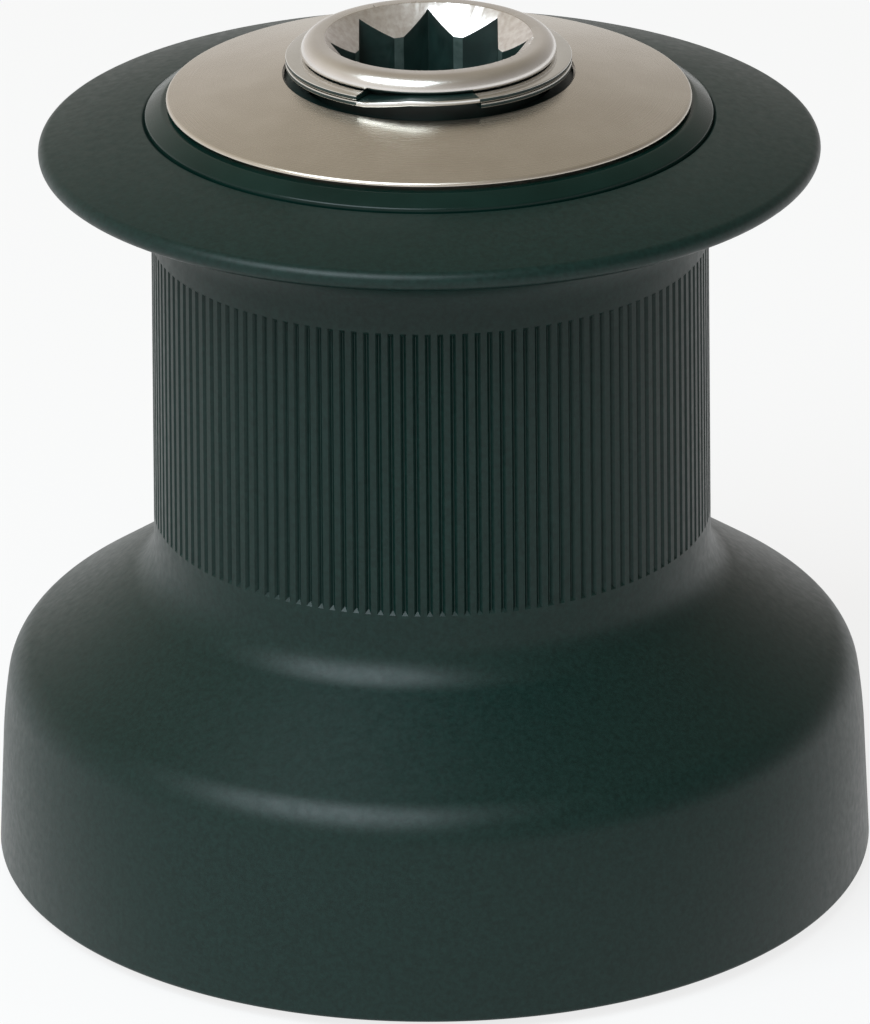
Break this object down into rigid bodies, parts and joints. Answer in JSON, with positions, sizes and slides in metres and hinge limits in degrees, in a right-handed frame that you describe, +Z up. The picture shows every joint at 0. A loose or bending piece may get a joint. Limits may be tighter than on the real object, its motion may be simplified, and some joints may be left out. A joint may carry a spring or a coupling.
{
  "type": "sailing winch",
  "caption": "Small plain-top deck winch for sheets and halyards: a knurled hollow drum and a star handle socket turn on a bolted-down base.",
  "frame": {"origin": "on the turning axis of drum and spindle, at deck level, in the plane of the flange's underside", "axes": "+Z up along the turning axis, towards the handle socket; a point of the star socket and one bolt hole face +Y; the picture is taken from -Y"},
  "size_m": [0.1138, 0.1138, 0.111],
  "materials": {
    "black_anodised": "satin black anodised",
    "dark_ring": "glossy black",
    "polished_cap": "polished stainless steel",
    "polished_spindle": "polished stainless steel, dark inside the socket",
    "bright_ring": "bright spring steel",
    "cast_alloy": "dull anodised casting",
    "bronze": "machined aluminium bronze",
    "plain_steel": "plain stainless steel",
    "white_acetal": "moulded bearing plastic",
    "black_acetal": "moulded bearing plastic"
  },
  "bodies": {
    "base": {"base_casting": "cast_alloy", "drum_thrust_washer": "white_acetal", "lower_roller_bearing": "white_acetal", "bearing_spacer": "white_acetal", "upper_roller_bearing": "white_acetal", "upper_spindle_bush": "black_acetal", "lower_spindle_bush": "black_acetal", "base_pawl_right": "bronze", "base_pawl_left": "bronze", "base_pawl_pin_right": "plain_steel", "base_pawl_pin_left": "plain_steel", "base_pawl_spring_right": "plain_steel", "base_pawl_spring_left": "plain_steel"},
    "drum": {"drum": "black_anodised", "lower_ratchet_ring": "bronze", "upper_ratchet_ring": "bronze", "cap_seat_ring": "dark_ring", "top_cap": "polished_cap"},
    "spindle": {"spindle": "polished_spindle", "cap_retaining_ring": "bright_ring", "spindle_thrust_washer": "white_acetal", "spindle_foot_washer": "plain_steel", "spindle_circlip": "plain_steel", "spindle_pawl_right": "bronze", "spindle_pawl_left": "bronze", "spindle_pawl_pin_right": "plain_steel", "spindle_pawl_pin_left": "plain_steel", "spindle_pawl_spring_right": "plain_steel", "spindle_pawl_spring_left": "plain_steel"}
  },
  "joints": [
    {"name": "drum_spin", "type": "hinge", "parent": "base", "child": "drum", "pos_m": [0, 0, 0.05], "axis": [0, 0, -1], "continuous": true},
    {"name": "spindle_spin", "type": "hinge", "parent": "base", "child": "spindle", "pos_m": [0, 0, 0.05], "axis": [0, 0, -1], "continuous": true}
  ]
}
